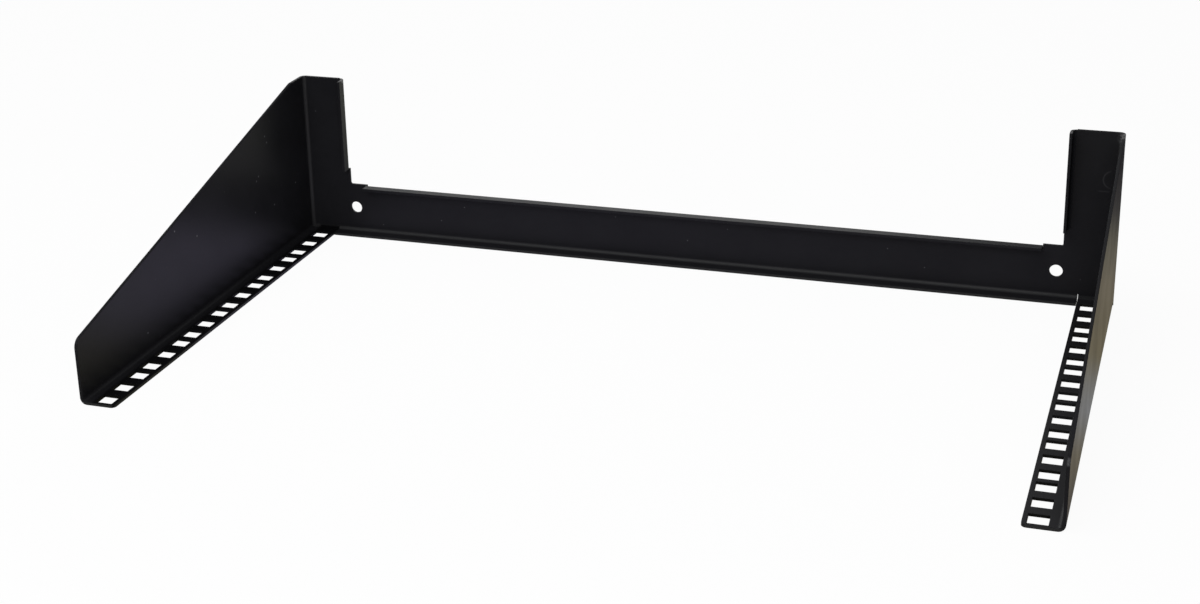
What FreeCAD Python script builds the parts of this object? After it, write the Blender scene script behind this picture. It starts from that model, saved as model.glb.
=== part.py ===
"""Six-unit open rack frame for a wall, cut and folded from one steel sheet.

The sheet is drawn with its wall face in the XZ plane and reaches forward along -Y. The
finished frame stands on the undersides of its two rails, with its origin at the middle
of its footprint. All sizes are in millimetres.
"""
import FreeCAD, Part
import math
import os

import Sketcher

# Driving dimensions. Each is one cell of the sheet, with its name as the alias.
SIZES = {
    # the sheet and its folds
    "sheet_thickness": 1.6,
    "bend_inner_radius": 2.0,
    "relief_width": 0.08,
    "relief_margin": 0.3,
    # the rack standard's holes and units
    "hole_column_spacing": 465.1,
    "rack_unit": 44.45,
    "unit_count": 6,
    "hole_side": 9.5,
    # overall form, around the holes
    "hole_column_to_side": 12.35,
    "hole_column_to_opening": 7.05,
    "rack_setback": 8.3,
    "overall_height": 99.1,
    # back plate
    "arm_width": 29.1,
    "crossbar_height": 31.6,
    "cutout_corner_radius": 1.0,
    "wall_hole_diameter": 7.3,
    "wall_hole_to_side": 32.15,
    "wall_hole_height": 16.5,
    # stiffening lips
    "lip_depth": 8.8,
    "bottom_lip_depth": 10.0,
    "arm_lip_rise": 10.0,
    "arm_lip_drop": 0.3,
    "top_lip_inset": 11.0,
    "bottom_lip_clearance": 0.3,
    # side plates
    "plate_top_length": 18.8,
    "plate_front_height": 34.7,
    "plate_top_radius": 9.0,
    "plate_front_radius": 5.5,
    # rails
    "rail_seam": 0.3,
    "rail_corner_radius": 2.5,
}


class Size:
    """A length that knows both its value and its expression on the sheet."""

    def __init__(self, value, text):
        self.value = value
        self.text = text

    def __add__(self, other):
        other = as_size(other)
        return Size(self.value + other.value, f"({self.text} + {other.text})")

    def __sub__(self, other):
        other = as_size(other)
        return Size(self.value - other.value, f"({self.text} - {other.text})")

    def __mul__(self, factor):
        factor = as_size(factor)
        return Size(self.value * factor.value, f"{self.text} * {factor.text}")

    def __truediv__(self, divisor):
        return Size(self.value / divisor, f"{self.text} / {divisor}")

    def __neg__(self):
        return Size(-self.value, f"(-1 * {self.text})")


def as_size(number):
    """Give a plain number the same form as a size."""
    if isinstance(number, Size):
        return number
    return Size(number, str(number))


def size(alias):
    """Return the driving dimension that a cell holds."""
    return Size(SIZES[alias], f"Sizes.{alias}")


def whole(count):
    """Round a count to the nearest whole number."""
    return Size(round(count.value), f"round({count.text})")


# Places worked out from the driving dimensions. The frame is the same left and right,
# so a place along X is written for the right half.
thickness = size("sheet_thickness")
bend_inner = size("bend_inner_radius")
bend_outer = bend_inner + thickness
relief = size("relief_width")
relief_depth = bend_outer + size("relief_margin")

hole_column = size("hole_column_spacing") / 2
side = hole_column + size("hole_column_to_side")
side_bend = side - bend_outer
top = size("overall_height")
units = whole(size("unit_count"))
depth = size("rack_setback") + size("rack_unit") * units

# A unit of 1 3/4 inches holds three holes: 1/4 inch from its edge, then 5/8 inch apart.
hole_to_unit_edge = size("rack_unit") / 7
hole_pitch = size("rack_unit") * 5 / 14

arm_edge = side - size("arm_width")
arm_bend = arm_edge + bend_outer
arm_lip_bottom = size("crossbar_height") + size("arm_lip_rise")
arm_lip_top = top - size("arm_lip_drop")
crossbar_top = size("crossbar_height")
top_lip_end = arm_edge - size("top_lip_inset")
lip = size("lip_depth")
bottom_lip = size("bottom_lip_depth")

rail_edge = hole_column - size("hole_column_to_opening")
rail_back = thickness + size("rail_seam")
bottom_lip_end = rail_edge - size("bottom_lip_clearance")
corner_relief = bend_outer + relief
zero = Size(0.0, "0")

# Directions in a sketch, and axes of the frame.
RIGHT = (1, 0)
LEFT = (-1, 0)
UP = (0, 1)
DOWN = (0, -1)
X_AXIS, Y_AXIS, Z_AXIS = range(3)

# The points of a sketch's line or arc, as the sketcher numbers them.
START, END, CENTRE = range(1, 4)

HOLES_PER_UNIT = 3
NEAR = 0.001


def make_sheet(doc):
    """Put the driving dimensions in the document's sheet."""
    sheet = doc.addObject("Spreadsheet::Sheet", "Sizes")
    for row, (alias, value) in enumerate(SIZES.items(), start=1):
        sheet.set(f"A{row}", alias)
        sheet.set(f"B{row}", str(value))
        sheet.setAlias(f"B{row}", alias)
    doc.recompute()


def origin_feature(body, role):
    """Find a plane or an axis of the body's own origin."""
    for feature in body.Origin.OriginFeatures:
        if feature.Role == role:
            return feature
    raise ValueError(f"no {role} in {body.Label}")


def new_sketch(body, name, role, offset=None):
    """Start a sketch on an origin plane, moved along the plane's normal by an offset."""
    sketch = body.newObject("Sketcher::SketchObject", name)
    sketch.AttachmentSupport = [(origin_feature(body, role), "")]
    sketch.MapMode = "FlatFace"
    if offset is not None:
        sketch.setExpression("AttachmentOffset.Base.z", offset.text)
    return sketch


def bind(sketch, constraint, length):
    """Add a constraint and bind it to a size."""
    index = sketch.addConstraint(constraint)
    sketch.setExpression(f"Constraints[{index}]", length.text)


def fix_x(sketch, geometry, point, length):
    """Hold a point at a distance from the sketch's vertical axis."""
    bind(sketch, Sketcher.Constraint("DistanceX", -1, START, geometry, point, length.value), length)


def fix_y(sketch, geometry, point, length):
    """Hold a point at a distance from the sketch's horizontal axis."""
    bind(sketch, Sketcher.Constraint("DistanceY", -1, START, geometry, point, length.value), length)


def vector(x, y):
    """Turn two sizes into a point of a sketch."""
    return FreeCAD.Vector(x.value, y.value, 0)


def moved(point, direction, distance):
    """Return the point that lies at a distance from a point, in one of four directions."""
    (x, y), (right, up) = point, direction
    if right:
        return (x + distance * right, y)
    return (x, y + distance * up)


def draw_line(sketch, start, end):
    """Draw a straight edge between two points given as pairs of sizes."""
    return sketch.addGeometry(Part.LineSegment(vector(*start), vector(*end)), False)


def join(sketch, *ends):
    """Join pairs of line or arc ends, each given as geometry and point numbers."""
    for first, first_point, second, second_point in ends:
        sketch.addConstraint(
            Sketcher.Constraint("Coincident", first, first_point, second, second_point)
        )


def draw_outline(sketch, points):
    """Draw a closed outline with sharp corners through the points."""
    lines = [draw_line(sketch, *ends) for ends in zip(points, points[1:] + points[:1])]
    for line, following in zip(lines, lines[1:] + lines[:1]):
        join(sketch, (line, END, following, START))
    for line, (x, y) in zip(lines, points):
        fix_x(sketch, line, START, x)
        fix_y(sketch, line, START, y)


def draw_fold(sketch, centre, to_flat, to_flange, run=None):
    """Draw the section of a quarter bend, and of its flange where there is a run.

    The bend has its own centre. to_flat and to_flange point from it to where the
    bend meets the flat sheet and the flange. The flange runs away from the flat.
    """
    flat_angle = math.atan2(to_flat[1], to_flat[0])
    flange_angle = math.atan2(to_flange[1], to_flange[0])
    flat_point, flange_point = START, END
    if to_flat[0] * to_flange[1] - to_flat[1] * to_flange[0] < 0:
        flat_point, flange_point = END, START
    first = flat_angle if flat_point == START else flange_angle
    arcs = []
    for radius in (bend_outer, bend_inner):
        circle = Part.Circle(vector(*centre), FreeCAD.Vector(0, 0, 1), radius.value)
        arc = sketch.addGeometry(Part.ArcOfCircle(circle, first, first + math.pi / 2), False)
        bind(sketch, Sketcher.Constraint("Radius", arc, radius.value), radius)
        for direction, point in ((to_flat, flat_point), (to_flange, flange_point)):
            level = "Horizontal" if direction[0] else "Vertical"
            sketch.addConstraint(Sketcher.Constraint(level, arc, CENTRE, arc, point))
        arcs.append(arc)
    outer, inner = arcs
    fix_x(sketch, outer, CENTRE, centre[0])
    fix_y(sketch, outer, CENTRE, centre[1])
    join(sketch, (outer, CENTRE, inner, CENTRE))
    joint = draw_line(sketch, moved(centre, to_flat, bend_inner), moved(centre, to_flat, bend_outer))
    join(sketch, (joint, START, inner, flat_point), (joint, END, outer, flat_point))
    inner_end = moved(centre, to_flange, bend_inner)
    outer_end = moved(centre, to_flange, bend_outer)
    if run is None:
        end = draw_line(sketch, outer_end, inner_end)
        join(sketch, (end, START, outer, flange_point), (end, END, inner, flange_point))
        return
    away = (-to_flat[0], -to_flat[1])
    outside = draw_line(sketch, outer_end, moved(outer_end, away, run))
    end = draw_line(sketch, moved(outer_end, away, run), moved(inner_end, away, run))
    inside = draw_line(sketch, moved(inner_end, away, run), inner_end)
    join(
        sketch,
        (outside, START, outer, flange_point),
        (outside, END, end, START),
        (end, END, inside, START),
        (inside, END, inner, flange_point),
    )
    along, across = ("Horizontal", "Vertical") if away[0] else ("Vertical", "Horizontal")
    sketch.addConstraint(Sketcher.Constraint(along, outside))
    sketch.addConstraint(Sketcher.Constraint(along, inside))
    sketch.addConstraint(Sketcher.Constraint(across, end))
    bind(sketch, Sketcher.Constraint("Distance", outside, run.value), run)


def new_pad(body, sketch, length, symmetric=False):
    """Give a closed sketch its run along the normal of its plane."""
    pad = body.newObject("PartDesign::Pad", sketch.Name + "Pad")
    pad.Profile = sketch
    pad.setExpression("Length", length.text)
    if symmetric:
        pad.SideType = "Symmetric"
    return pad


def new_pocket(body, sketch, length):
    """Cut a closed sketch into the sheet along the normal of its plane."""
    pocket = body.newObject("PartDesign::Pocket", sketch.Name + "Pocket")
    pocket.Profile = sketch
    pocket.Reversed = True
    pocket.setExpression("Length", length.text)
    return pocket


def round_corners(body, name, radius, first, second):
    """Round the sheet's corners whose edges lie at two given places.

    Each place is an axis and a size. A place along X counts on both sides.
    """
    body.Document.recompute()
    base = body.Tip
    places = [(axis, length.value) for axis, length in (first, second)]
    corners = []
    for number, edge in enumerate(base.Shape.Edges, start=1):
        ends = [vertex.Point for vertex in edge.Vertexes]
        at_places = all(
            abs((abs(end[axis]) if axis == X_AXIS else end[axis]) - place) < NEAR
            for axis, place in places
            for end in ends
        )
        if at_places:
            corners.append(f"Edge{number}")
    fillet = body.newObject("PartDesign::Fillet", name)
    fillet.Base = (base, corners)
    fillet.setExpression("Radius", radius.text)
    return fillet


def add_back_plate(body):
    """Pad the flat back plate: two arms on a crossbar, as far as every bend line."""
    right_half = [
        (top_lip_end, crossbar_top - bend_outer),
        (top_lip_end, crossbar_top - relief_depth),
        (top_lip_end + relief, crossbar_top - relief_depth),
        (top_lip_end + relief, crossbar_top),
        (arm_edge, crossbar_top),
        (arm_edge, arm_lip_bottom - relief),
        (arm_edge + relief_depth, arm_lip_bottom - relief),
        (arm_edge + relief_depth, arm_lip_bottom),
        (arm_bend, arm_lip_bottom),
        (arm_bend, top),
        (side_bend, top),
        (side_bend, zero),
        (rail_edge, zero),
        (rail_edge, relief_depth),
        (bottom_lip_end, relief_depth),
        (bottom_lip_end, bend_outer),
    ]
    left_half = [(-x, z) for x, z in reversed(right_half)]
    sketch = new_sketch(body, "BackPlate", "XZ_Plane")
    draw_outline(sketch, right_half + left_half)
    new_pad(body, sketch, thickness)


def add_crossbar_lips(body):
    """Fold the crossbar's two long lips forward."""
    sketch = new_sketch(body, "TopLip", "YZ_Plane")
    draw_fold(sketch, (-bend_outer, crossbar_top - bend_outer), RIGHT, UP, lip - bend_outer)
    new_pad(body, sketch, top_lip_end * 2, symmetric=True)
    sketch = new_sketch(body, "BottomLip", "YZ_Plane")
    draw_fold(sketch, (-bend_outer, bend_outer), RIGHT, DOWN, bottom_lip - bend_outer)
    new_pad(body, sketch, bottom_lip_end * 2, symmetric=True)


def add_arm_lip(body):
    """Fold the lip along the right arm's inner edge forward."""
    sketch = new_sketch(body, "ArmLip", "XY_Plane", arm_lip_bottom)
    draw_fold(sketch, (arm_bend, -bend_outer), UP, LEFT, lip - bend_outer)
    return new_pad(body, sketch, arm_lip_top - arm_lip_bottom)


def add_side_plate(body):
    """Fold the right side plate forward: its upright bend, then its tapered flat."""
    bend_sketch = new_sketch(body, "SideBend", "XY_Plane")
    draw_fold(bend_sketch, (side_bend, -bend_outer), UP, RIGHT)
    bend = new_pad(body, bend_sketch, top)
    flat_sketch = new_sketch(body, "SidePlate", "YZ_Plane", side - thickness)
    draw_outline(
        flat_sketch,
        [
            (-bend_outer, bend_outer),
            (-bend_outer, top),
            (-size("plate_top_length"), top),
            (-depth, size("plate_front_height")),
            (-depth, bend_outer),
        ],
    )
    flat = new_pad(body, flat_sketch, thickness)
    return [bend, flat]


def add_rail(body):
    """Fold the right rail inward from the side plate's bottom edge."""
    bend_sketch = new_sketch(body, "RailBend", "XZ_Plane", corner_relief)
    draw_fold(bend_sketch, (side_bend, bend_outer), RIGHT, DOWN)
    bend = new_pad(body, bend_sketch, depth - corner_relief)
    flat_sketch = new_sketch(body, "Rail", "XY_Plane")
    draw_outline(
        flat_sketch,
        [
            (rail_edge, -rail_back),
            (side_bend, -rail_back),
            (side_bend, -depth),
            (rail_edge, -depth),
        ],
    )
    flat = new_pad(body, flat_sketch, thickness)
    return [bend, flat]


def mirror_folds(body, folds):
    """Repeat the right-hand folds on the left."""
    mirrored = body.newObject("PartDesign::Mirrored", "LeftFolds")
    mirrored.Originals = folds
    mirrored.MirrorPlane = (origin_feature(body, "YZ_Plane"), [""])
    body.Tip = mirrored


def cut_wall_holes(body):
    """Cut the two round holes for the wall screws."""
    sketch = new_sketch(body, "WallHoles", "XZ_Plane")
    reach = side - size("wall_hole_to_side")
    height = size("wall_hole_height")
    radius = size("wall_hole_diameter") / 2
    for place in (-reach, reach):
        circle = Part.Circle(vector(place, height), FreeCAD.Vector(0, 0, 1), radius.value)
        hole = sketch.addGeometry(circle, False)
        fix_x(sketch, hole, CENTRE, place)
        fix_y(sketch, hole, CENTRE, height)
        bind(sketch, Sketcher.Constraint("Radius", hole, radius.value), radius)
    new_pocket(body, sketch, thickness)


def cut_rack_holes(body):
    """Cut the square holes of the front unit in both rails and repeat them to the back."""
    sketch = new_sketch(body, "RackHoles", "XY_Plane")
    half = size("hole_side") / 2
    first = depth - hole_to_unit_edge
    for column in (-hole_column, hole_column):
        for number in range(HOLES_PER_UNIT):
            centre = -(first - hole_pitch * number)
            draw_outline(
                sketch,
                [
                    (column - half, centre - half),
                    (column + half, centre - half),
                    (column + half, centre + half),
                    (column - half, centre + half),
                ],
            )
    pocket = new_pocket(body, sketch, thickness)
    pattern = body.newObject("PartDesign::LinearPattern", "RackHolePattern")
    pattern.Originals = [pocket]
    pattern.Direction = (origin_feature(body, "Y_Axis"), [""])
    pattern.setExpression("Length", (size("rack_unit") * (units - 1)).text)
    pattern.setExpression("Occurrences", units.text)
    body.Tip = pattern


def make_rack_frame(doc):
    """Build the whole frame as one folded sheet."""
    body = doc.addObject("PartDesign::Body", "RackFrame")
    body.Label = "rack_frame"
    add_back_plate(body)
    add_crossbar_lips(body)
    folds = [add_arm_lip(body)]
    folds += add_side_plate(body)
    folds += add_rail(body)
    doc.recompute()
    mirror_folds(body, folds)
    round_corners(
        body, "CutoutCorners", size("cutout_corner_radius"), (X_AXIS, arm_edge), (Z_AXIS, crossbar_top)
    )
    round_corners(
        body, "PlateTopCorners", size("plate_top_radius"), (Y_AXIS, -size("plate_top_length")), (Z_AXIS, top)
    )
    round_corners(
        body, "PlateFrontCorners", size("plate_front_radius"), (Y_AXIS, -depth),
        (Z_AXIS, size("plate_front_height")),
    )
    round_corners(
        body, "RailCorners", size("rail_corner_radius"), (X_AXIS, rail_edge), (Y_AXIS, -depth)
    )
    cut_wall_holes(body)
    cut_rack_holes(body)
    body.setExpression("Placement.Base.y", (depth / 2).text)
    doc.recompute()
    return body


def check(doc, bodies):
    """Stop if any feature failed or any solid is missing or broken."""
    for feature in doc.Objects:
        if "Invalid" in feature.State or "Error" in feature.State:
            raise RuntimeError(f"{feature.Label} failed: {feature.State}")
    for body in bodies:
        if body.Shape.isNull() or not body.Shape.isValid():
            raise RuntimeError(f"{body.Label} has no valid shape")
        if len(body.Shape.Solids) != 1:
            raise RuntimeError(f"{body.Label} has {len(body.Shape.Solids)} solids")


def main():
    doc = FreeCAD.newDocument("OpenRackFrame")
    make_sheet(doc)
    bodies = [make_rack_frame(doc)]
    check(doc, bodies)
    os.makedirs("parts", exist_ok=True)
    for body in bodies:
        body.Shape.exportStep(f"parts/{body.Label}.step")
        box = body.Shape.BoundBox
        print(f"{body.Label}: {box.XLength:.2f} x {box.YLength:.2f} x {box.ZLength:.2f} mm")
        print(f"{body.Label}: volume {body.Shape.Volume:.1f} cubic millimetres")


main()
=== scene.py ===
# %% [markdown]
# # An open rack frame in black powder coat
#
# The real object is one steel sheet, cut and folded into a frame that hangs on a wall and
# holds six units of 19-inch equipment. The CAD model already has its exact shape, so this
# lesson makes the light, the camera and above all the coat. Lengths are in metres.

# %% Load the frame
import math

import bpy
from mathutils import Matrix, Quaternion, Vector


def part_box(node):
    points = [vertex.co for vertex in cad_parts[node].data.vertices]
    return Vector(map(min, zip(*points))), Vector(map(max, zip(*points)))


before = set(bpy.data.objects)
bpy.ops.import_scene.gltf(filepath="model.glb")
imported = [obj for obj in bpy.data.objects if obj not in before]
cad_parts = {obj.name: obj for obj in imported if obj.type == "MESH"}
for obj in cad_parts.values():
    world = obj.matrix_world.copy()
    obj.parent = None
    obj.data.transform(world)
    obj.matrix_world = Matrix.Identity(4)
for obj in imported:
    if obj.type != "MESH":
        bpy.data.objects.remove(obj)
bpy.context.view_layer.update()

MM = 0.001
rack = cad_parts["rack_frame"]
low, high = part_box("rack_frame")
print("rack frame", [round(size / MM, 2) for size in high - low], "mm")

# %% [markdown]
# ## Places on the frame
#
# The finish changes from place to place: dust on a side plate, a scuff on an arm, pale
# spots on corners, and painted highlight and painted shade in some places. Each place is
# counted from the frame's own box and from a few sizes that the box doesn't give: the
# sheet's thickness, the arms' width, and where the square holes lie.

# %% Places on the frame
SHEET = 1.6 * MM
ARM_WIDTH = 29.1 * MM
HOLES_TO_SIDE = 12.35 * MM
HOLES_TO_OPENING = 7.05 * MM
HOLE_HALF = 4.75 * MM

RAIL_TOP = low.z + SHEET
HOLE_COLUMN = high.x - HOLES_TO_SIDE
OPENING_SIDE = HOLE_COLUMN - HOLES_TO_OPENING
ARM_EDGE = high.x - ARM_WIDTH
BACK_FACE = high.y - SHEET
INNER_SIDE = low.x + SHEET
print("arm edge", round(ARM_EDGE / MM, 2), "mm; back plate's face", round(BACK_FACE / MM, 2), "mm")

# %% [markdown]
# ## Camera
#
# The photograph was taken from the front right and above, with a short telephoto lens. A
# place, a point to look at, a small roll and the lens fix the view. The shift stands for
# the photograph's crop, whose middle isn't where the lens pointed.

# %% Camera
CAMERA_PLACE = Vector((294.94, -936.35, 425.34)) * MM
CAMERA_AIM = Vector((-73.66, 112.99, 20.0)) * MM
CAMERA_ROLL = math.radians(-1.572)
CAMERA_LENS = 60.12
CAMERA_SHIFT = (0.03675, -0.05695)
CAMERA_CLIP = (0.05, 20.0)
SENSOR_WIDTH = 36.0


def make_camera():
    """Add the camera at the photograph's viewpoint."""
    data = bpy.data.cameras.new("photo_camera")
    data.sensor_width = SENSOR_WIDTH
    data.lens = CAMERA_LENS
    data.shift_x, data.shift_y = CAMERA_SHIFT
    data.clip_start, data.clip_end = CAMERA_CLIP
    camera = bpy.data.objects.new("photo_camera", data)
    camera.location = CAMERA_PLACE
    turn = (CAMERA_AIM - CAMERA_PLACE).to_track_quat("-Z", "Y")
    camera.rotation_mode = "QUATERNION"
    camera.rotation_quaternion = turn @ Quaternion((0, 0, 1), CAMERA_ROLL)
    bpy.context.collection.objects.link(camera)
    return camera


bpy.context.scene.camera = make_camera()
bpy.context.scene.view_settings.view_transform = "Standard"
print("camera to frame", round((CAMERA_PLACE - (low + high) / 2).length, 3), "m")

# %% [markdown]
# ## Shader maths
#
# A material is a network of nodes. Here a small class wraps a node's socket, so that a
# formula such as `1 - mask * 0.5` adds the Math nodes it needs. Every other kind of node
# comes from one method, which takes its type, its settings and the values of its sockets.

# %% Shader maths
# The Mix node's sockets for colours, which stand after those for its other kinds of data.
MIX_COLOURS = (6, 7)
MIX_RESULT = 2


class Link:
    """A value in a material, which Python's operators work on."""

    def __init__(self, shader, socket):
        self.shader = shader
        self.socket = socket

    def math(self, operation, *others):
        return self.shader.node(
            "ShaderNodeMath", {"operation": operation}, dict(enumerate((self, *others)))
        )

    def __add__(self, other):
        return self.math("ADD", other)

    def __sub__(self, other):
        return self.math("SUBTRACT", other)

    def __mul__(self, other):
        return self.math("MULTIPLY", other)

    def __truediv__(self, other):
        return self.math("DIVIDE", other)

    def __rsub__(self, other):
        return self.math("MULTIPLY_ADD", -1.0, other)

    __radd__ = __add__

    def at_most(self, other):
        return self.math("MINIMUM", other)

    def at_least(self, other):
        return self.math("MAXIMUM", other)

    def magnitude(self):
        return self.math("ABSOLUTE")

    def fade(self, start, end):
        """Go smoothly from 0 at start to 1 at end."""
        return self.shader.node(
            "ShaderNodeMapRange",
            {"interpolation_type": "SMOOTHSTEP"},
            {"Value": self, "From Min": start, "From Max": end},
        )


def fill_ramp(ramp, stops):
    """Give a colour ramp its stops, each a position and a colour, in rising order."""
    ends = {0: ramp.elements[0], len(stops) - 1: ramp.elements[1]}
    for number in (0, len(stops) - 1):
        ends[number].position = stops[number][0]
        ends[number].color = (*stops[number][1], 1.0)
    for position, colour in stops[1:-1]:
        ramp.elements.new(position).color = (*colour, 1.0)


class Shader:
    """The node network of a material or of the world."""

    def __init__(self, owner):
        owner.use_nodes = True
        self.tree = owner.node_tree
        self.tree.nodes.clear()

    def node(self, kind, settings=None, values=None, result=0):
        """Add a node, set it, fill its sockets and return one of its results."""
        node = self.tree.nodes.new(kind)
        for name, setting in (settings or {}).items():
            if name == "stops":
                fill_ramp(node.color_ramp, setting)
            else:
                setattr(node, name, setting)
        for name, value in (values or {}).items():
            if isinstance(value, Link):
                self.tree.links.new(value.socket, node.inputs[name])
            else:
                node.inputs[name].default_value = value
        return Link(self, node.outputs[result])

    def finish(self, kind, surface):
        """Add the output node and give it the finished surface."""
        output = self.tree.nodes.new(kind)
        self.tree.links.new(surface.socket, output.inputs["Surface"])

    def mix_colour(self, share, first, second):
        """Mix two colours, each a link or a triple of numbers."""
        sockets = {0: share}
        for socket, colour in zip(MIX_COLOURS, (first, second)):
            sockets[socket] = colour if isinstance(colour, Link) else (*colour, 1.0)
        return self.node("ShaderNodeMix", {"data_type": "RGBA"}, sockets, MIX_RESULT)

    def axis(self, place, number):
        """Read a place along x, y or z: number 0, 1 or 2."""
        return self.node("ShaderNodeSeparateXYZ", None, {0: place}, number)

    def distance(self, first, second):
        """Measure how far a place is from another."""
        return self.node(
            "ShaderNodeVectorMath", {"operation": "DISTANCE"}, {0: first, 1: second}, "Value"
        )


print("shader helpers ready")

# %% [markdown]
# ## Floor
#
# The floor is plain and pale. The camera sees it almost at full white, as in a product
# picture, with a small share of the lit floor, so the frame's soft shadow stays. Satin black
# shows little but reflections, and most of what this frame mirrors is the floor. In the
# photograph that floor is cool and bright inside the frame, and warmer outside it, where it
# darkens far behind. So reflections see a painted reflection: a glowing floor tint that
# changes from front to back, along one colour ramp for the inside and one for the outside.
# The inside ramp dips near the back plate as painted shadow, and the inside is darker in
# its right half and has painted shadow beside the left rail.

# %% Floor
FLOOR_HALF = 5.0
FLOOR_COLOUR = (0.86, 0.86, 0.86, 1.0)
FLOOR_WHITE_SHARE = 0.95
RAMP_START, RAMP_LENGTH = -0.3, 0.8
# Painted reflection tint of the floor inside the frame; its dip near the back plate is painted
# shadow.
INSIDE = (
    (-0.14, (0.42, 0.39, 0.17)),
    (-0.08, (0.65, 0.61, 0.42)),
    (-0.02, (1.03, 0.97, 1.28)),
    (0.09, (1.07, 0.99, 1.38)),
    (0.14, (0.50, 0.48, 0.58)),
    (0.24, (0.46, 0.46, 0.46)),
    (0.36, (0.95, 0.95, 0.86)),
)
OUTSIDE = (
    (-0.13, (0.32, 0.28, 0.26)),
    (-0.06, (0.66, 0.58, 0.42)),
    (-0.01, (0.90, 0.91, 0.92)),
    (0.02, (0.86, 0.85, 0.80)),
    (0.06, (0.64, 0.55, 0.35)),
    (0.17, (0.68, 0.59, 0.43)),
    (0.23, (0.54, 0.50, 0.38)),
    (0.29, (0.14, 0.13, 0.13)),
    (0.42, (0.03, 0.03, 0.04)),
)
OUTSIDE_EDGE = (0.20, 0.25)
RIGHT_HALF = (-0.05, 0.20)
RIGHT_HALF_SHARE = 0.42
RIGHT_HALF_TINT = (0.16, 0.16, 0.06)
# Painted shadow in the floor's reflection beside the left rail.
LEFT_RAIL_PAINTED_SHADOW = (-0.24, -0.20)
LEFT_RAIL_DIMMING = 0.6


def on_ramp(stops):
    """Turn stops at distances along y into stops at shares of the ramp."""
    return [((y - RAMP_START) / RAMP_LENGTH, colour) for y, colour in stops]


def painted_floor_reflection(shader):
    """Painted reflection: the tint that reflections see at each place of the floor, with painted
    shadow beside the left rail.
    """
    place = shader.node("ShaderNodeTexCoord", result="Object")
    x, y = shader.axis(place, 0), shader.axis(place, 1)
    share = (y - RAMP_START) / RAMP_LENGTH
    inside, outside = (
        shader.node("ShaderNodeValToRGB", {"stops": on_ramp(stops)}, {"Fac": share})
        for stops in (INSIDE, OUTSIDE)
    )
    right_share = x.fade(*RIGHT_HALF) * RIGHT_HALF_SHARE
    inside = shader.mix_colour(right_share, inside, RIGHT_HALF_TINT)
    left_rail_painted_shadow = (1 - x.fade(*LEFT_RAIL_PAINTED_SHADOW)) * LEFT_RAIL_DIMMING
    inside = shader.mix_colour(left_rail_painted_shadow, inside, (0.0, 0.0, 0.0))
    return shader.mix_colour(x.fade(*OUTSIDE_EDGE), inside, outside)


def make_floor_paint():
    """Pale matt floor that looks white to the camera and shows the painted reflection tint in
    reflections.
    """
    paint = bpy.data.materials.new("pale_floor")
    shader = Shader(paint)
    lit = shader.node("ShaderNodeBsdfDiffuse", None, {"Color": FLOOR_COLOUR})
    seen = shader.node("ShaderNodeLightPath", result="Is Camera Ray")
    glossy = shader.node("ShaderNodeLightPath", result="Is Glossy Ray")
    through = shader.node("ShaderNodeLightPath", result="Is Transmission Ray")
    # Reflections see the painted reflection tint with its painted shadow.
    colour = shader.mix_colour(glossy, (1.0, 1.0, 1.0), painted_floor_reflection(shader))
    white = shader.node("ShaderNodeEmission", None, {"Color": colour, "Strength": 1.0})
    share = (seen + glossy + through).at_most(1.0) * FLOOR_WHITE_SHARE
    surface = shader.node("ShaderNodeMixShader", None, {0: share, 1: lit, 2: white})
    shader.finish("ShaderNodeOutputMaterial", surface)
    return paint


def make_floor():
    """Add the floor under the rails."""
    bpy.ops.mesh.primitive_plane_add(size=2 * FLOOR_HALF, location=(0, 0, low.z))
    floor = bpy.context.object
    floor.name = "floor"
    floor.data.materials.append(make_floor_paint())
    return floor


bpy.ops.object.select_all(action="DESELECT")
floor = make_floor()
print("floor", 2 * FLOOR_HALF, "m square at height", round(low.z, 4))

# %% [markdown]
# ## Light
#
# Black satin paint shows its surroundings more than its own colour, so large soft lamps
# matter. One hangs overhead and one high on the left, where the fold at the back plate's
# foot mirrors them as a thin bright line. One stands in front and lights the back plate.
# Two weak ones stand behind, mirrored at a glancing angle: the low one gives the lips' tops
# their grey sheen, the high one draws the cut edges. The left one is a little blue, and the
# world is a dim even grey.

# %% Light
WORLD_LEVEL = 0.18
LEFT_TINT = (0.90, 0.92, 1.0)


def make_world():
    """Fill the surroundings with a dim even grey."""
    world = bpy.data.worlds.new("studio")
    bpy.context.scene.world = world
    shader = Shader(world)
    air = shader.node(
        "ShaderNodeBackground", None, {"Color": (1.0, 1.0, 1.0, 1.0), "Strength": WORLD_LEVEL}
    )
    shader.finish("ShaderNodeOutputWorld", air)


def make_softbox(name, place, aim, width, height, watts, colour=(1.0, 1.0, 1.0)):
    """Add a rectangular lamp at a place, turned towards a point."""
    data = bpy.data.lights.new(name, "AREA")
    data.shape = "RECTANGLE"
    data.size, data.size_y = width, height
    data.energy = watts
    data.color = colour
    lamp = bpy.data.objects.new(name, data)
    lamp.location = place
    lamp.rotation_euler = (Vector(aim) - Vector(place)).to_track_quat("-Z", "Y").to_euler()
    bpy.context.collection.objects.link(lamp)
    return lamp


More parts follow.
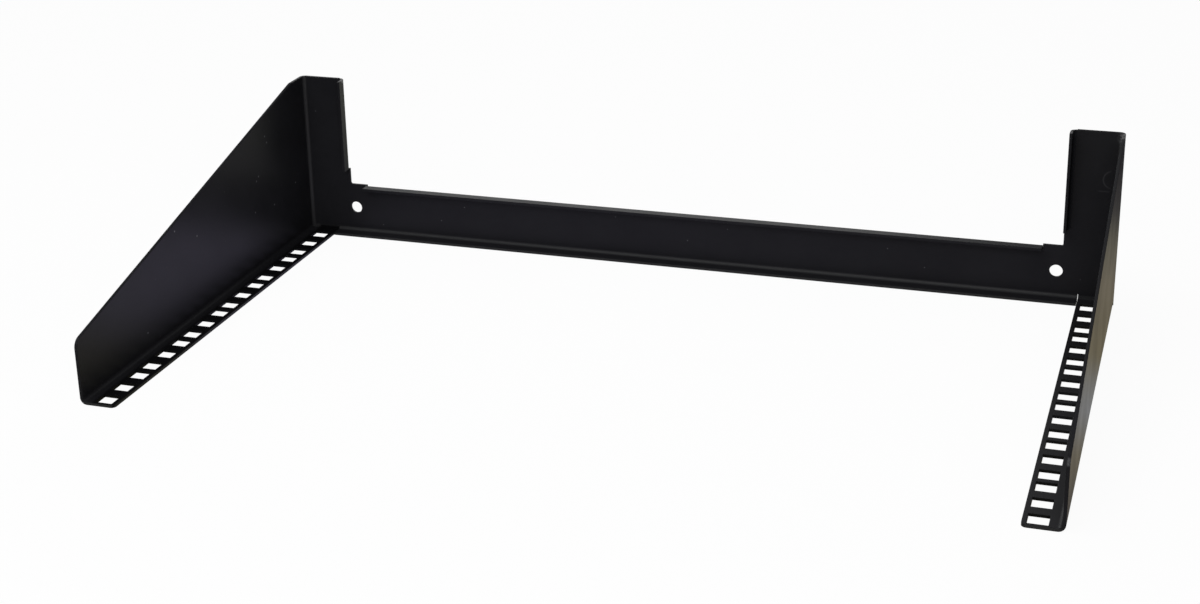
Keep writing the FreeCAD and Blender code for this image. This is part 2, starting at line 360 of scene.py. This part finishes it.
make_world()
softboxes = [
    make_softbox(
        "overhead_softbox", place=(-0.4, -0.45, 1.6), aim=(0.0, 0.0, 0.0),
        width=1.5, height=0.6, watts=13.0,
    ),
    make_softbox(
        "front_softbox", place=(0.5, -1.9, 1.1), aim=(0.0, 0.1, 0.05),
        width=1.2, height=1.2, watts=20.0,
    ),
    make_softbox(
        "left_softbox", place=(-0.7, -1.5, 1.35), aim=(0.0, 0.1, 0.05),
        width=0.9, height=0.5, watts=7.0, colour=LEFT_TINT,
    ),
    make_softbox(
        "rear_softbox", place=(0.1, 1.6, 1.35), aim=(0.1, 0.0, 0.05),
        width=0.9, height=0.8, watts=1.5,
    ),
    make_softbox(
        "back_softbox", place=(-0.56, 1.75, 0.60), aim=(0.0, 0.1, 0.03),
        width=0.95, height=0.5, watts=3.1,
    ),
]
print("softboxes", [lamp.name for lamp in softboxes])

# %% [markdown]
# ## Powder coat
#
# Powder is sprayed on dry and melted, so it flows into a skin with a fine ripple called
# orange peel, thick enough to round every cut edge. It is a dark satin: the paint's colour
# is nearly black, and its sheen is broad and weak.

# %% Powder coat
BLACK = (0.0098, 0.0097, 0.0112)
CLOUDY_BLACK = (0.0117, 0.0116, 0.0133)
COAT_IOR = 1.17
COAT_ROUGHNESS = 0.38
ROUGHNESS_SWING = 0.05
PEEL_SIZE = 1.5 * MM
PEEL_HEIGHT = 0.03 * MM
PEEL_STRENGTH = 0.7
CLOUD_SIZE = 30.0 * MM
CLOUD_SPAN = (0.3, 0.7)
EDGE_RADIUS = 0.6 * MM


def coat_normal(shader, place):
    """Orange peel on faces whose edges look rounded."""
    peel = shader.node(
        "ShaderNodeTexNoise", None,
        {"Vector": place, "Scale": 1.0 / PEEL_SIZE, "Detail": 2.0, "Roughness": 0.5},
    )
    soft_edges = shader.node("ShaderNodeBevel", {"samples": 4}, {"Radius": EDGE_RADIUS})
    return shader.node(
        "ShaderNodeBump", None,
        {
            "Strength": PEEL_STRENGTH, "Distance": PEEL_HEIGHT,
            "Height": peel, "Normal": soft_edges,
        },
    )


def clouds(shader, place):
    """Slow unevenness of the sprayed powder, from 0 to 1."""
    cloud = shader.node(
        "ShaderNodeTexNoise", None, {"Vector": place, "Scale": 1.0 / CLOUD_SIZE, "Detail": 4.0}
    )
    return cloud.fade(*CLOUD_SPAN)


print("orange peel", PEEL_SIZE / MM, "mm; clouds", CLOUD_SIZE / MM, "mm")

# %% [markdown]
# ## Dust, a scuff, pale spots and painted light
#
# Black shows every speck. A few pale motes lie on the left side plate and on the crossbar,
# each a small ball around a place, cut by the metal's surface. Finer dust is a cell
# pattern that keeps only the middle of some cells. The scuff on the right arm is part of a
# ring and a short stroke. A few corners that stick out have pale spots. The coat is a little
# paler along the folds and the rails' cut edges, as painted highlight. The walls of the
# square holes stay darker than the rest, as painted shade, and so does the left rail's inner
# part, where the photograph shows a shade that the lamps here don't cast.

# %% Dust, a scuff, pale spots and painted light
SOFT_CORE = 0.4
DUST = (0.12, 0.12, 0.125)
PALE_SPOT_COLOUR = (0.20, 0.20, 0.20)
# Painted highlight: the paler tone along the folds.
FOLD_PAINTED_HIGHLIGHT = (0.023, 0.023, 0.024)
FOLD_DEPTH = 2.6 * MM
FOLD_FADE = 1.2 * MM
PLATE_MOTE_RADIUS = 0.7 * MM
BAR_MOTE_RADIUS = 0.42 * MM
BAR_MOTE_SHARE = 0.6
PLATE_MOTES = (
    (68.4, 55.9), (65.5, 53.8), (61.1, 35.8), (79.9, 77.2), (81.8, 72.9), (85.7, 32.5),
    (115.4, 36.9), (28.8, 77.5), (25.5, 86.2), (-8.9, 45.9), (-32.5, 56.9), (-69.8, 12.0),
)
BAR_MOTES = (
    (0.5, 14.5), (-156.0, 12.8), (-140.4, 22.7), (-195.1, 6.6), (140.0, 11.3), (118.6, 20.8),
)
DUST_CELL = 7.0 * MM
DUST_PATCH = 25.0 * MM
SPECK_SPAN = (0.03, 0.07)
PATCH_SPAN = (0.5, 0.65)
FINE_DUST_SHARE = 0.35
SCUFF_MIDDLE = Vector((high.x - 5.2 * MM, BACK_FACE, 72.0 * MM))
SCUFF_RADIUS = 5.0 * MM
STROKE_LEVEL = 65.2 * MM
STROKE_MIDDLE = high.x - 9.6 * MM
STROKE_SPAN = (2.0 * MM, 4.0 * MM)
STROKE_SHARE = 0.7
ARC_FADE = 3.0 * MM
LINE_SPAN = (0.1 * MM, 0.6 * MM)
SCUFF_SHARE = 0.15
PALE_SPOT_GRAIN = 1.2 * MM
GRAIN_SPAN = (0.35, 0.6)
# Each pale spot is a place and a radius: the tops of the two arms' lips, then the right side
# plate's rear top corner. Its front top corner has a fainter one.
PALE_SPOTS = (
    ((-ARM_EDGE, high.y - 4.0 * MM, high.z), 2.8 * MM),
    ((ARM_EDGE, high.y - 6.0 * MM, high.z - 1.0 * MM), 3.0 * MM),
    ((high.x + 2.0 * MM, high.y - 7.0 * MM, high.z - 3.0 * MM), 9.0 * MM),
)
FRONT_PALE_SPOT = ((high.x - 1.0 * MM, low.y + 1.5 * MM, low.z + 33.0 * MM), 2.6 * MM)
FRONT_PALE_SPOT_SHARE = 0.22
# Painted shade in the square holes' walls.
HOLE_WALL_PAINTED_SHADE = (0.003, 0.003, 0.003)
# Painted highlight on the cut edges.
CUT_EDGE_PAINTED_HIGHLIGHT = (0.020, 0.020, 0.020)
CUT_FADE = 0.2 * MM
SHADED = (0.0035, 0.0034, 0.0040)
SHADE_FADE = 2.5 * MM


def fold_painted_highlight(shader, place):
    """Painted highlight lines along the two upright folds and the one at the back plate's foot."""
    side = shader.axis(place, 0).magnitude() - (high.x - FOLD_DEPTH)
    back = shader.axis(place, 1) - (high.y - FOLD_DEPTH)
    foot = (low.z + FOLD_DEPTH) - shader.axis(place, 2)
    upright = side.at_most(back).fade(-FOLD_FADE, 0.0)
    across = foot.at_most(back).fade(-FOLD_FADE, 0.0)
    return upright.at_least(across)


def near(shader, place, spot, radius):
    """1 in the core of a spot, falling to 0 at its radius."""
    return 1 - shader.distance(place, spot).fade(SOFT_CORE * radius, radius)


def near_any(shader, place, spots):
    """1 at each of several spots, every one with its own radius."""
    found = near(shader, place, *spots[0])
    for spot, radius in spots[1:]:
        found = found.at_least(near(shader, place, spot, radius))
    return found


def motes(shader, place):
    """Pale motes on the left side plate and smaller, fainter ones on the crossbar."""
    on_plate = [((INNER_SIDE, y * MM, z * MM), PLATE_MOTE_RADIUS) for y, z in PLATE_MOTES]
    on_bar = [((x * MM, BACK_FACE, z * MM), BAR_MOTE_RADIUS) for x, z in BAR_MOTES]
    faint = near_any(shader, place, on_bar) * BAR_MOTE_SHARE
    return near_any(shader, place, on_plate).at_least(faint)


def fine_dust(shader, place):
    """Tiny specks, thicker in some places than in others."""
    cells = shader.node(
        "ShaderNodeTexVoronoi", None, {"Vector": place, "Scale": 1.0 / DUST_CELL}, "Distance"
    )
    patches = shader.node(
        "ShaderNodeTexNoise", None, {"Vector": place, "Scale": 1.0 / DUST_PATCH}
    )
    return (1 - cells.fade(*SPECK_SPAN)) * patches.fade(*PATCH_SPAN)


def scuff(shader, place):
    """A faint open arc with a short stroke under it, on the right arm."""
    x, z = shader.axis(place, 0), shader.axis(place, 2)
    reach = shader.distance(place, SCUFF_MIDDLE)
    arc = 1 - (reach - SCUFF_RADIUS).magnitude().fade(*LINE_SPAN)
    arc = arc * (1 - x.fade(SCUFF_MIDDLE.x - ARC_FADE, SCUFF_MIDDLE.x))
    stroke = 1 - (z - STROKE_LEVEL).magnitude().fade(*LINE_SPAN)
    stroke = stroke * (1 - (x - STROKE_MIDDLE).magnitude().fade(*STROKE_SPAN))
    return arc.at_least(stroke * STROKE_SHARE)


def pale_spot_mask(shader, place):
    """Lighter corners, broken up by a fine noise."""
    grain = shader.node(
        "ShaderNodeTexNoise", None, {"Vector": place, "Scale": 1.0 / PALE_SPOT_GRAIN, "Detail": 2.0}
    )
    faint = near(shader, place, *FRONT_PALE_SPOT) * FRONT_PALE_SPOT_SHARE
    return near_any(shader, place, PALE_SPOTS).at_least(faint) * grain.fade(*GRAIN_SPAN)


def cut_through(shader, place):
    """1 on what was cut through the rails and the lip between them, 0 on their tops."""
    return (RAIL_TOP - shader.axis(place, 2)).fade(0.5 * CUT_FADE, 1.5 * CUT_FADE)


def hole_wall_painted_shade(shader, place):
    """The square holes' walls, which little light reaches, painted darker as shade."""
    aside = (shader.axis(place, 0).magnitude() - HOLE_COLUMN).magnitude()
    column = 1 - aside.fade(HOLE_HALF + CUT_FADE, HOLE_HALF + 2 * CUT_FADE)
    behind = shader.axis(place, 1).fade(low.y + CUT_FADE, low.y + 2 * CUT_FADE)
    return cut_through(shader, place) * column * behind


def left_rail(shader, place):
    """The left rail's top from the holes inwards, which the photograph shows in shade."""
    x = shader.axis(place, 0)
    outer = -(HOLE_COLUMN + HOLE_HALF)
    inward = x.fade(outer - SHADE_FADE, outer)
    inward = inward * (1 - x.fade(-OPENING_SIDE, CUT_FADE - OPENING_SIDE))
    return inward * (1 - shader.axis(place, 2).fade(RAIL_TOP + CUT_FADE, RAIL_TOP + SHADE_FADE))


def cut_edge_painted_highlight(shader, place):
    """Painted highlight on the rails' free edges, their front ends and the lip's front edge."""
    aside = shader.axis(place, 0).magnitude()
    inner = 1 - aside.fade(OPENING_SIDE + CUT_FADE, OPENING_SIDE + 2 * CUT_FADE)
    front = 1 - shader.axis(place, 1).fade(low.y + CUT_FADE, low.y + 2 * CUT_FADE)
    return cut_through(shader, place) * inner.at_least(front)


print(len(PLATE_MOTES) + len(BAR_MOTES), "motes,", len(PALE_SPOTS) + 1, "pale corner spots")

# %% [markdown]
# ## The finished coat
#
# The marks only change the paint's colour: the clouds a little, the painted highlight on
# folds and cut edges and the painted shade in the hole walls and on the left rail somewhat,
# dust and scuff towards grey, the pale spots most of all. The roughness follows the clouds,
# so the sheen isn't even.

# %% The finished coat


def make_powder_coat():
    """Black satin powder coat with its dust and marks."""
    coat = bpy.data.materials.new("powder_coat")
    shader = Shader(coat)
    place = shader.node("ShaderNodeTexCoord", result="Object")
    cloud = clouds(shader, place)
    dusty = motes(shader, place).at_least(fine_dust(shader, place) * FINE_DUST_SHARE)
    dusty = dusty.at_least(scuff(shader, place) * SCUFF_SHARE)
    colour = shader.mix_colour(cloud, BLACK, CLOUDY_BLACK)
    # Painted highlight along the folds and cut edges, painted shade on the left rail and in the
    # hole walls.
    colour = shader.mix_colour(fold_painted_highlight(shader, place), colour, FOLD_PAINTED_HIGHLIGHT)
    colour = shader.mix_colour(left_rail(shader, place), colour, SHADED)
    colour = shader.mix_colour(cut_edge_painted_highlight(shader, place), colour, CUT_EDGE_PAINTED_HIGHLIGHT)
    colour = shader.mix_colour(hole_wall_painted_shade(shader, place), colour, HOLE_WALL_PAINTED_SHADE)
    colour = shader.mix_colour(dusty, colour, DUST)
    colour = shader.mix_colour(pale_spot_mask(shader, place), colour, PALE_SPOT_COLOUR)
    surface = shader.node(
        "ShaderNodeBsdfPrincipled", None,
        {
            "Base Color": colour,
            "Roughness": COAT_ROUGHNESS + (cloud - 0.5) * ROUGHNESS_SWING,
            "IOR": COAT_IOR,
            "Normal": coat_normal(shader, place),
        },
    )
    shader.finish("ShaderNodeOutputMaterial", surface)
    return coat


powder_coat = make_powder_coat()
rack.data.materials.clear()
rack.data.materials.append(powder_coat)
print("coat nodes", len(powder_coat.node_tree.nodes))
